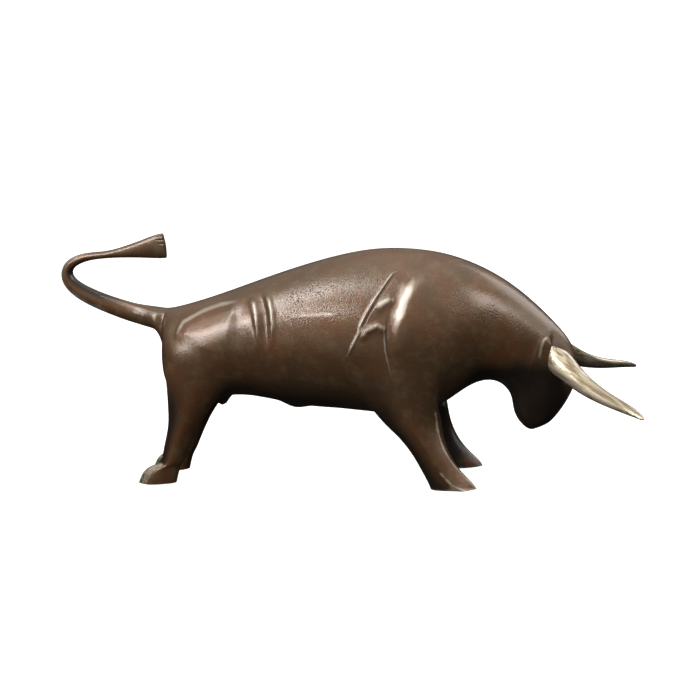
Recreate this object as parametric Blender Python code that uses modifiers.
"""A hollow-cast bronze bull, head lowered and tail curled over its back, made as one closed solid.

The figure is drawn in millimetres at its own length, DRAWN_LENGTH, and scaled to BULL_LENGTH. A coarse
cage gives the body, legs, tail and horns, Subdivision Surface rounds it, and short strokes then carve the
folds at the shoulder and the hip. +X is towards the head, +Z is up, and the four soles stand on Z = 0.
"""

import math

import bmesh
import bpy
import numpy as np
from mathutils import Vector

# Driving dimension, in metres: from the tail's bend to the horn tips.
BULL_LENGTH = 0.464
DRAWN_LENGTH = 464.0
DRAWN = BULL_LENGTH / DRAWN_LENGTH

# Widths and spreads in drawn millimetres, each from the middle plane to one side.
BARREL_HALF = 44.0
HIP_HALF = 37.0
NECK_HALF = 33.0
HEAD_HALF = 20.0
MUZZLE_HALF = 13.0
FORE_FOOT_IN, FORE_FOOT_OUT = 21.5, 40.5
HIND_FOOT_IN, HIND_FOOT_OUT = 11.0, 29.0
SOLE = 1.0
HORN_SPREAD = 86.0
HORN_ROOT_RADIUS = 8.6

# A ring of the cage has this many corners, counted from the back line down the near side.
AROUND = 16
# Subdivision pulls a ring of the cage inwards by this share of its radius.
SHRINK = 1.026
CAGE_LEVEL = 3
TRIANGLES = 9600

# The first ring of each limb's patch, counted from the rump.
HIND_LEG_INDEX = 1
FORE_LEG_INDEX = 7
HORN_INDEX = 13
# How sharp the edges stay: round the soles, on the fore leg's front rim and outer ridge, round the
# tail's end, and along the inner edges of its bend.
SOLE_CREASE = 1.0
RIM_CREASE = 0.75
RIDGE_CREASE = 0.8
TAIL_END_CREASE = 0.9
TAIL_EDGE_CREASE = 0.6

# Carved lines on both flanks, as seen from the side: x, z in drawn millimetres, top to bottom.
GROOVE = (
    (44.5, 174.7), (37.0, 164.5), (30.0, 154.5), (23.5, 144.0), (18.5, 134.5), (15.0, 127.5),
)
LOWER_RIDGE = ((20.0, 138.0), (14.2, 127.0), (8.3, 116.0), (1.4, 102.0))
PANEL_HIGH = ((26.5, 144.5), (34.5, 150.0), (43.5, 154.5))
PANEL_LOW = ((16.5, 121.5), (21.5, 130.0), (30.0, 134.0), (38.0, 128.5))
DOME = (
    (117.5, 159.5), (106.0, 170.0), (95.5, 178.5), (84.5, 184.5), (73.5, 186.0), (63.5, 184.0), (55.0, 177.0),
    (48.0, 166.5), (43.0, 155.0), (38.5, 142.0), (37.0, 129.0), (37.5, 114.0), (40.5, 98.0), (48.0, 67.0),
)
DOME_CREASE = ((38.0, 140.0), (37.0, 129.0), (37.5, 114.0), (40.5, 98.0), (45.0, 80.0))
HAUNCH_EDGE = (
    (-135.0, 120.0), (-131.5, 129.0), (-128.5, 134.5), (-112.5, 142.5), (-97.0, 147.5), (-85.5, 150.0),
    (-77.5, 148.0),
)
HIP_FOLD_REAR = (
    (-73.5, 155.0), (-69.5, 149.0), (-67.3, 142.0), (-65.8, 133.5), (-65.0, 123.0), (-65.5, 110.0),
)
HIP_FOLD_FRONT = (
    (-62.3, 158.0), (-57.0, 152.0), (-54.5, 144.5), (-53.3, 135.0), (-54.0, 123.0), (-56.5, 110.5),
)
HIP_VALLEY = (
    (-67.3, 158.0), (-62.0, 151.5), (-59.8, 143.0), (-59.3, 132.5), (-59.7, 119.0), (-61.5, 107.0),
)
CHEEK_FOLD = ((154.5, 119.5), (151.0, 113.0), (147.5, 105.0), (145.0, 94.0), (144.0, 84.0))
# How each line is cut: line, form, height, width, then a ridge's distance from the line or the length over
# which a step dies away, and the shares of the line over which it fades in and out. A step rises on the
# side towards the head where its line runs down, and below it where the line runs towards the tail.
STROKES = (
    (GROOVE, "ridge", 0.60, 1.2, -1.7, 0.15, 0.25),
    (GROOVE, "ridge", -1.20, 0.8, 0.0, 0.12, 0.30),
    (GROOVE, "step", 0.80, 1.2, 30.0, 0.12, 0.30),
    (LOWER_RIDGE, "ridge", 0.55, 1.1, 0.0, 0.30, 0.50),
    (PANEL_HIGH, "ridge", 0.90, 3.4, 0.0, 0.25, 0.25),
    (PANEL_LOW, "ridge", 0.90, 3.0, 0.0, 0.20, 0.20),
    (DOME, "step", 3.60, 14.0, 44.0, 0.30, 0.30),
    (DOME_CREASE, "ridge", -0.70, 0.9, -0.4, 0.30, 0.45),
    (DOME_CREASE, "ridge", 0.40, 0.9, -2.0, 0.40, 0.50),
    (HIP_FOLD_REAR, "ridge", 1.30, 2.8, 0.0, 0.20, 0.50),
    (HIP_FOLD_FRONT, "ridge", 1.20, 2.4, 0.0, 0.20, 0.50),
    (HIP_VALLEY, "ridge", -0.90, 2.6, 0.0, 0.25, 0.50),
    (HAUNCH_EDGE, "ridge", 1.20, 3.6, 0.0, 0.15, 0.25),
    (HAUNCH_EDGE[::-1], "step", 1.50, 6.0, 55.0, 0.25, 0.20),
    (CHEEK_FOLD, "ridge", 0.70, 2.2, 0.0, 0.30, 0.60),
)
# Rounded swellings: x, y outwards, z, radius, height: sheath, scrotum, and the three lumps of the ear.
SWELLINGS = (
    (-46.5, 0.0, 62.0, 17.5, 4.0),
    (-108.0, 0.0, 67.0, 11.5, 9.8),
    (153.5, 28.0, 116.3, 3.0, 1.5),
    (158.0, 26.0, 114.5, 3.0, 1.4),
    (154.1, 27.0, 109.2, 3.4, 1.5),
)
# The mesh is cut in half near these lines, as seen from the side, once for each band and its reach.
SHARP_LINES = (GROOVE, LOWER_RIDGE, DOME_CREASE)
FOLD_LINES = SHARP_LINES + (PANEL_HIGH, PANEL_LOW, HIP_FOLD_REAR, HIP_FOLD_FRONT)
FINE_BANDS = ((FOLD_LINES + (HAUNCH_EDGE, DOME, CHEEK_FOLD), 9.0), (FOLD_LINES, 5.0), (SHARP_LINES, 2.5))

BRONZE_COLOUR = (0.115, 0.062, 0.038, 1.0)
BRONZE_ROUGHNESS = 0.32

# Stations of the body from rump to muzzle: back line x, z; belly line x, z; half width; share of the
# height, from the top, where the ring is widest.
BODY = (
    (-148.3, 142.5, -152.0, 82.0, 0.62 * HIP_HALF, 0.52),
    (-139.5, 144.0, -146.5, 74.0, 0.90 * HIP_HALF, 0.54),
    (-117.0, 149.8, -118.0, 67.0, 1.02 * HIP_HALF, 0.54),
    (-92.0, 157.5, -93.0, 73.0, 1.03 * HIP_HALF, 0.52),
    (-64.0, 166.6, -64.0, 67.0, 0.90 * BARREL_HALF, 0.49),
    (-34.0, 176.2, -36.0, 61.0, 0.97 * BARREL_HALF, 0.515),
    (-4.0, 184.4, -12.0, 60.0, 1.02 * BARREL_HALF, 0.54),
    (27.0, 190.0, 8.0, 58.0, 1.06 * BARREL_HALF, 0.57),
    (57.0, 189.4, 34.0, 55.8, 1.06 * BARREL_HALF, 0.60),
    (83.0, 182.8, 67.0, 58.0, 1.00 * BARREL_HALF, 0.54),
    (108.5, 170.6, 85.0, 70.5, 1.18 * NECK_HALF, 0.46),
    (131.3, 156.3, 99.0, 80.0, NECK_HALF, 0.46),
    (150.2, 139.1, 111.5, 82.5, 0.88 * NECK_HALF, 0.46),
    (164.6, 124.0, 121.0, 79.0, 1.30 * HEAD_HALF, 0.45),
    (176.5, 109.0, 128.0, 69.5, 1.10 * HEAD_HALF, 0.44),
    (181.0, 88.0, 128.5, 59.0, HEAD_HALF, 0.46),
    (174.0, 68.0, 131.5, 49.5, 1.25 * MUZZLE_HALF, 0.48),
    (161.0, 49.5, 139.5, 41.0, 0.90 * MUZZLE_HALF, 0.50),
)
# How far the closing grids stand out at the middle of a side; their centre stands out more, corners less.
RUMP_BULGE = 1.8
MUZZLE_BULGE = 2.0
BULGE_STEP = 0.2

# A leg's section, from its rear outer corner round the front to the rear: share of the half length
# towards the front, and share of the half width outwards. The second corner is the outer ridge and the
# fourth the front rim; their shares of the length change from level to level, and the third corner
# stays halfway between them.
LEG_SECTION = (
    (-0.66, 0.78), (0.10, 1.00), (0.62, 0.76), (1.00, 0.34), (1.00, -0.35),
    (0.55, -0.88), (-0.02, -1.00), (-0.58, -0.88), (-0.96, -0.38), (-0.98, 0.38),
)
RIDGE_SLOT = 2
RIM_SLOT = 4
# The two corners inside a leg's section, by slot, with their share of the half width outwards.
LEG_MIDDLES = ((11, 0.33), (12, -0.33))
# Legs from the body down: height, rear x, front x, inner y, outer y, how sharp the toe is, ridge, rim.
FORE_LEG = (
    (58.0, 22.5, 77.0, 9.0, 44.0, 0.0, 0.00, 0.80),
    (45.0, 39.0, 77.5, 15.0, 43.0, 0.1, 0.00, 0.74),
    (30.0, 50.5, 80.7, 19.0, FORE_FOOT_OUT + 1.0, 0.2, 0.00, 0.80),
    (15.0, 58.0, 88.5, 21.0, FORE_FOOT_OUT, 0.25, 0.08, 0.95),
    (5.5, 62.5, 98.5, FORE_FOOT_IN, FORE_FOOT_OUT, 0.4, 0.14, 1.00),
    (SOLE, 64.0, 101.0, FORE_FOOT_IN, FORE_FOOT_OUT, 0.5, 0.48, 1.00),
)
HIND_LEG = (
    (64.0, -148.5, -112.0, 6.0, 33.0, 0.0, 0.10, 1.00),
    (49.0, -149.0, -123.4, 8.5, 30.5, 0.0, 0.10, 1.00),
    (33.0, -154.0, -131.8, 10.5, 29.0, 0.1, 0.10, 1.00),
    (20.5, -156.8, -137.5, 11.5, 28.5, 0.2, 0.00, 1.00),
    (17.0, -158.6, -139.5, HIND_FOOT_IN + 0.5, HIND_FOOT_OUT - 1.0, 0.2, -0.10, 1.00),
    (14.0, -171.2, -141.5, HIND_FOOT_IN + 0.5, HIND_FOOT_OUT - 0.5, 0.25, -0.20, 1.00),
    (6.0, -176.5, -144.0, HIND_FOOT_IN, HIND_FOOT_OUT, 0.4, -0.20, 1.00),
    (SOLE, -178.5, -145.5, HIND_FOOT_IN, HIND_FOOT_OUT, 0.5, -0.30, 1.00),
)

# The tail's centre line x, z, with half its depth in the middle plane and half its thickness across.
TAIL = (
    (-155.5, 134.2, 9.4, 13.0),
    (-163.5, 135.7, 9.4, 9.4),
    (-172.0, 137.7, 8.7, 6.8),
    (-181.0, 140.0, 8.4, 5.2),
    (-203.0, 147.9, 7.7, 4.6),
    (-222.8, 157.4, 7.2, 4.7),
    (-233.6, 168.0, 6.0, 5.2),
    (-231.2, 179.9, 5.0, 5.6),
    (-216.0, 186.3, 3.8, 5.6),
    (-198.5, 187.0, 2.6, 5.3),
    (-181.0, 189.2, 4.8, 4.4),
    (-165.0, 191.4, 8.0, 4.0),
    (-152.0, 193.2, 10.8, 3.8),
    (-147.5, 193.6, 10.8, 3.6),
)
# A tail section's corners: share of the half depth inwards, share of the half thickness across.
TAIL_CORNERS = (
    (0.8, -0.8), (1.0, 0.0), (0.8, 0.8), (0.0, 1.0),
    (-0.8, 0.8), (-1.0, 0.0), (-0.8, -0.8), (0.0, -1.0),
)
# The tail's bend, from one station to another, the corners of its two inner edges, and the end's swell.
TAIL_BEND = (4, 9)
TAIL_EDGE_SLOTS = (1, 3)
TAIL_END_BULGE = 2.4

# The horn's centre line x, y outwards, z, with its radius as a share of the root's.
HORN = (
    (162.0, 16.0, 102.5, 1.35),
    (170.5, 25.5, 96.4, 1.04),
    (184.5, 43.2, 86.0, 0.84),
    (200.5, 59.5, 79.8, 0.63),
    (214.0, 73.6, 76.6, 0.50),
    (223.5, 82.6, 73.5, 0.31),
    (227.0, HORN_SPREAD, 71.6, 0.16),
)
# The top of a horn's section is the corner nearest this direction; the section is broader across it.
HORN_UP = (-0.55, 0.0, 0.83)
HORN_FLAT = 0.76
HORN_BROAD = 1.12

# The strokes end where the skin turns away from the flank: sideways share of the normal, and fade.
FLANK_EDGE = 0.15
FLANK_FADE = 0.5
# Only skin that faces outwards at least this much is cut finer.
FACING_OUT = 0.1


def ring_point(station, corner):
    """The place of one corner of a body ring, counted from the back line down the near side."""
    top_x, top_z, low_x, low_z, half_width, widest = station
    angle = 2 * math.pi * corner / AROUND
    drop = ((1 - math.cos(angle)) / 2) ** (math.log(widest) / math.log(0.5))
    drop = 0.5 + (drop - 0.5) * SHRINK
    return Vector((
        top_x + (low_x - top_x) * drop,
        -half_width * SHRINK * math.sin(angle),
        top_z + (low_z - top_z) * drop,
    ))


def ring(bm, station):
    """One ring of the body: a circle whose corners are set on the station's outline."""
    verts = bmesh.ops.create_circle(bm, segments=AROUND, radius=1.0)["verts"]
    for corner, vert in enumerate(verts):
        vert.co = ring_point(station, corner)
    return verts


def grid_corner(row, column):
    """The ring corner that a border place of the closing grid takes; None inside the grid."""
    side = AROUND // 4
    if row == 0:
        return (side // 2 - column) % AROUND
    if row == side:
        return AROUND // 2 - side // 2 + column
    if column == 0:
        return side // 2 + row
    if column == side:
        return (AROUND - side // 2 - row) % AROUND
    return None


def closing_grid(bm, station, bulge):
    """A 4 by 4 grid that closes an end of the body: {(row, column): vert}, and its border as a ring."""
    side = AROUND // 4
    verts = bmesh.ops.create_grid(bm, x_segments=side, y_segments=side, size=1.0)["verts"]
    grid = {}
    border = {}
    loop = [None] * AROUND
    for vert in verts:
        place = round((1 - vert.co.y) * side / 2), round((vert.co.x + 1) * side / 2)
        grid[place] = vert
        corner = grid_corner(*place)
        if corner is not None:
            border[place] = ring_point(station, corner)
            loop[corner] = vert
    for (row, column), vert in grid.items():
        if (row, column) in border:
            vert.co = border[row, column]
            continue
        across = border[row, 0].lerp(border[row, side], column / side)
        down = border[0, column].lerp(border[side, column], row / side)
        steps = (row == side // 2) + (column == side // 2) - 1
        vert.co = (across + down) / 2 + bulge * (1 + BULGE_STEP * steps)
    return grid, loop


def shared_face(verts):
    """The face that all these verts share."""
    faces = set(verts[0].link_faces)
    for vert in verts[1:]:
        faces &= set(vert.link_faces)
    return faces.pop()


def patch_faces(patch):
    """The faces between the rows of a patch of verts."""
    faces = []
    for row, below in zip(patch, patch[1:]):
        for column in range(len(row) - 1):
            faces.append(shared_face([row[column], row[column + 1], below[column], below[column + 1]]))
    return faces


def grow(bm, faces, numbered, levels):
    """Extrudes the faces once for each level, {slot: place}, and returns each level's {slot: vert}."""
    slots = bm.verts.layers.int["slot"]
    for vert, number in numbered:
        vert[slots] = number
    made = []
    for places in levels:
        extruded = bmesh.ops.extrude_face_region(bm, geom=faces)["geom"]
        bmesh.ops.delete(bm, geom=faces, context="FACES")
        faces = [item for item in extruded if isinstance(item, bmesh.types.BMFace)]
        verts = {item[slots]: item for item in extruded if isinstance(item, bmesh.types.BMVert)}
        for number, place in places.items():
            verts[number].co = place
        made.append(verts)
    return made


def crease(bm, verts, value):
    """Keeps the edges along a line of verts sharp under subdivision."""
    creases = bm.edges.layers.float["crease_edge"]
    for first, second in zip(verts, verts[1:]):
        bm.edges.get((first, second))[creases] = value


def leg_places(level, side, toe):
    """The corners of one leg section by slot; toe is 1 for a toe in front and -1 for one behind."""
    height, rear, front, inner, outer, sharp, ridge, rim = level
    middle = Vector(((rear + front) / 2, side * (inner + outer) / 2, height))
    half_x, half_y = (front - rear) / 2, side * (outer - inner) / 2
    moving = {RIDGE_SLOT: ridge, RIDGE_SLOT + 1: (ridge + rim) / 2, RIM_SLOT: rim}
    places = {}
    for slot, (along, out) in enumerate(LEG_SECTION, 1):
        along = moving.get(slot, along)
        narrowed = out * (1 - sharp * max(0.0, toe * along) ** 2)
        places[slot] = middle + Vector((half_x * along, half_y * narrowed, 0.0))
    for slot, out in LEG_MIDDLES:
        places[slot] = middle + Vector((0.0, half_y * out, 0.0))
    return places


def add_leg(bm, rings, first, side, levels, toe):
    """Grows a leg from the patch of the body between three rings, on the side of the given sign of y."""
    corners = (4, 5, 6, 7) if side < 0 else (12, 11, 10, 9)
    patch = [[rings[first + step][corner] for step in range(3)] for corner in corners]
    border = patch[0] + [patch[1][2], patch[2][2]] + patch[3][::-1] + [patch[2][0], patch[1][0]]
    numbered = [(vert, slot) for slot, vert in enumerate(border, 1)] + [(patch[1][1], 11), (patch[2][1], 12)]
    made = grow(bm, patch_faces(patch), numbered, [leg_places(level, side, toe) for level in levels])
    crease(bm, [made[-1][slot] for slot in (*range(1, 11), 1)], SOLE_CREASE)
    return made


def section_direction(centres, index):
    """The direction of a limb at one of its centres, from the centre before to the one after."""
    return (centres[min(index + 1, len(centres) - 1)] - centres[max(index - 1, 0)]).normalized()


def add_tail(bm, grid):
    """Grows the tail from the upper middle of the rump's grid, back, round the bend and forward."""
    border = [grid[0, 1], grid[0, 2], grid[0, 3], grid[1, 3], grid[2, 3], grid[2, 2], grid[2, 1], grid[1, 1]]
    patch = [[grid[row, column] for column in (1, 2, 3)] for row in (0, 1, 2)]
    numbered = [(vert, slot) for slot, vert in enumerate(border, 1)] + [(grid[1, 2], 9)]
    centres = [Vector((x, 0.0, z)) for x, z, _, _ in TAIL]
    levels = []
    for index, (_, _, half_depth, half_thick) in enumerate(TAIL):
        along = section_direction(centres, index)
        inward = Vector((along.z, 0.0, -along.x))
        places = {9: centres[index]}
        for slot, (deep, across) in enumerate(TAIL_CORNERS, 1):
            offset = inward * (half_depth * deep) + Vector((0.0, half_thick * across, 0.0))
            places[slot] = centres[index] + offset
        levels.append(places)
    levels[-1][9] += along * TAIL_END_BULGE
    made = grow(bm, patch_faces(patch), numbered, levels)
    crease(bm, [made[-1][slot] for slot in (*range(1, 9), 1)], TAIL_END_CREASE)
    for slot in TAIL_EDGE_SLOTS:
        crease(bm, [level[slot] for level in made[slice(*TAIL_BEND)]], TAIL_EDGE_CREASE)
    return made


def add_horn(bm, rings, side):
    """Grows a horn from a patch of the brow, on the side of the given sign of y."""
    corners = (1, 2, 3) if side < 0 else (15, 14, 13)
    patch = [[rings[HORN_INDEX + step][corner] for corner in corners] for step in range(3)]
    border = patch[0] + [patch[1][2]] + patch[2][::-1] + [patch[1][0]]
    numbered = [(vert, slot) for slot, vert in enumerate(border, 1)] + [(patch[1][1], 9)]
    centres = [Vector((x, side * y, z)) for x, y, z, _ in HORN]
    levels = []
    for index, (_, _, _, share) in enumerate(HORN):
        along = section_direction(centres, index)
        up = Vector(HORN_UP)
        up = (up - along * up.dot(along)).normalized()
        out = along.cross(up) * side
        radius = HORN_ROOT_RADIUS * share * SHRINK
        up *= radius * HORN_FLAT
        out *= radius * HORN_BROAD
        places = {9: centres[index]}
        for slot in range(1, 9):
            angle = math.pi * (slot - 2) / 4
            places[slot] = centres[index] + up * math.cos(angle) + out * math.sin(angle)
        levels.append(places)
    return grow(bm, patch_faces(patch), numbered, levels)


def build_cage(bm):
    """The coarse cage of the whole figure."""
    bm.verts.layers.int.new("slot")
    bm.edges.layers.float.new("crease_edge")
    rump, rump_loop = closing_grid(bm, BODY[0], Vector((-RUMP_BULGE, 0.0, 0.0)))
    facing = (ring_point(BODY[-1], 0) - ring_point(BODY[-2], 0)).normalized()
    muzzle_loop = closing_grid(bm, BODY[-1], facing * MUZZLE_BULGE)[1]
    rings = [rump_loop] + [ring(bm, station) for station in BODY[1:-1]] + [muzzle_loop]
    for pair in zip(rings, rings[1:]):
        edges = [bm.edges.get((loop[k], loop[(k + 1) % AROUND])) for loop in pair for k in range(AROUND)]
        bmesh.ops.bridge_loops(bm, edges=edges)
    for side in (-1, 1):
        fore = add_leg(bm, rings, FORE_LEG_INDEX, side, FORE_LEG, 1)
        add_leg(bm, rings, HIND_LEG_INDEX, side, HIND_LEG, -1)
        crease(bm, [level[RIM_SLOT] for level in fore], RIM_CREASE)
        crease(bm, [level[RIDGE_SLOT] for level in fore], RIDGE_CREASE)
        add_horn(bm, rings, side)
    add_tail(bm, rump)
    bmesh.ops.recalc_face_normals(bm, faces=bm.faces)


def line_distance(points, line):
    """Each point's distance from a line in the side view, positive towards the head, and its share along."""
    best = np.full(len(points), np.inf)
    signed = np.zeros(len(points))
    share = np.zeros(len(points))
    flat = points[:, [0, 2]]
    for index, (start, end) in enumerate(zip(line, line[1:])):
        step = np.subtract(end, start)
        offset = flat - start
        along = np.clip(offset @ step / (step @ step), 0.0, 1.0)
        gap = np.hypot(*(offset - along[:, None] * step).T)
        side = np.sign(step[0] * offset[:, 1] - step[1] * offset[:, 0])
        nearer = gap < best
        best = np.where(nearer, gap, best)
        signed = np.where(nearer, gap * side, signed)
        share = np.where(nearer, (index + along) / (len(line) - 1), share)
    return signed, share


def smooth_step(value):
    value = np.clip(value, 0.0, 1.0)
    return value * value * (3 - 2 * value)


def stroke_height(points, stroke):
    """How far one stroke lifts each point."""
    line, form, height, width, reach, fade_in, fade_out = stroke
    signed, share = line_distance(points, line)
    fade = smooth_step(share / fade_in) * smooth_step((1 - share) / fade_out)
    if form == "ridge":
        return height * fade * np.exp(-(((signed - reach) / width) ** 2))
    rise = smooth_step(signed / width)
    return height * fade * rise * (1 - smooth_step(signed / reach))


def carve(points, normals, strokes):
    """The points moved along their normals by every stroke and swelling."""
    outward = smooth_step((normals[:, 1] * np.sign(points[:, 1]) - FLANK_EDGE) / FLANK_FADE)
    lift = sum(stroke_height(points, stroke) for stroke in strokes) * outward
    for x, y, z, radius, height in SWELLINGS:
        mirrored = np.column_stack([points[:, 0], np.abs(points[:, 1]), points[:, 2]])
        gap = np.linalg.norm(mirrored - (x, y, z), axis=1)
        lift += height * smooth_step(1 - gap / radius)
    return points + normals * lift[:, None]


def refine_near_lines(bm, bands):
    """Cuts the mesh finer near the carved lines, so that it can hold them."""
    for lines, reach in bands:
        bm.normal_update()
        centres = np.array([face.calc_center_median() for face in bm.faces])
        facing = np.array([face.normal.y for face in bm.faces]) * np.sign(centres[:, 1])
        gaps = np.min([np.abs(line_distance(centres, line)[0]) for line in lines], axis=0)
        near = (gaps < reach) & (facing > FACING_OUT)
        edges = {edge for face, chosen in zip(bm.faces, near) if chosen for edge in face.edges}
        bmesh.ops.subdivide_edges(bm, edges=list(edges), cuts=1, smooth=1.0, use_grid_fill=True)


def rounded_mesh(collection):
    """The cage after Subdivision Surface, as a plain mesh."""
    mesh = bpy.data.meshes.new("cage")
    bm = bmesh.new()
    build_cage(bm)
    bm.to_mesh(mesh)
    bm.free()
    holder = bpy.data.objects.new("cage", mesh)
    collection.objects.link(holder)
    rounding = holder.modifiers.new("rounding", "SUBSURF")
    rounding.levels = CAGE_LEVEL
    rounding.render_levels = CAGE_LEVEL
    graph = bpy.context.evaluated_depsgraph_get()
    rounded = bpy.data.meshes.new_from_object(holder.evaluated_get(graph))
    bpy.data.objects.remove(holder, do_unlink=True)
    return rounded


def carved_bull(collection):
    """The bull: the rounded cage, cut finer beside the sharp lines, carved, and set on the ground."""
    mesh = rounded_mesh(collection)
    bm = bmesh.new()
    bm.from_mesh(mesh)
    refine_near_lines(bm, FINE_BANDS)
    bm.normal_update()
    points = np.array([vert.co for vert in bm.verts])
    points = carve(points, np.array([vert.normal for vert in bm.verts]), STROKES)
    bm.to_mesh(mesh)
    bm.free()
    middle = (points[:, 0].min() + points[:, 0].max()) / 2
    points -= (middle, 0.0, points[:, 2].min())
    mesh.vertices.foreach_set("co", (points * DRAWN).ravel())
    mesh.materials.append(bronze())
    mesh.shade_smooth()
    bull = bpy.data.objects.new("bull", mesh)
    collection.objects.link(bull)
    thin = bull.modifiers.new("facets", "DECIMATE")
    thin.ratio = TRIANGLES / sum(len(face.vertices) - 2 for face in mesh.polygons)
    print("bull spans", np.round(np.ptp(points, axis=0), 1), "drawn mm, middle x", round(middle, 2))


def bronze():
    """Brown patinated bronze."""
    material = bpy.data.materials.new("bronze_patina")
    material.use_nodes = True
    shader = material.node_tree.nodes["Principled BSDF"]
    shader.inputs["Base Color"].default_value = BRONZE_COLOUR
    shader.inputs["Metallic"].default_value = 1.0
    shader.inputs["Roughness"].default_value = BRONZE_ROUGHNESS
    material.diffuse_color = BRONZE_COLOUR
    return material


def clear_scene():
    for obj in list(bpy.data.objects):
        bpy.data.objects.remove(obj, do_unlink=True)


def main():
    clear_scene()
    collection = bpy.data.collections.new("bull_sculpture")
    bpy.context.scene.collection.children.link(collection)
    carved_bull(collection)


main()
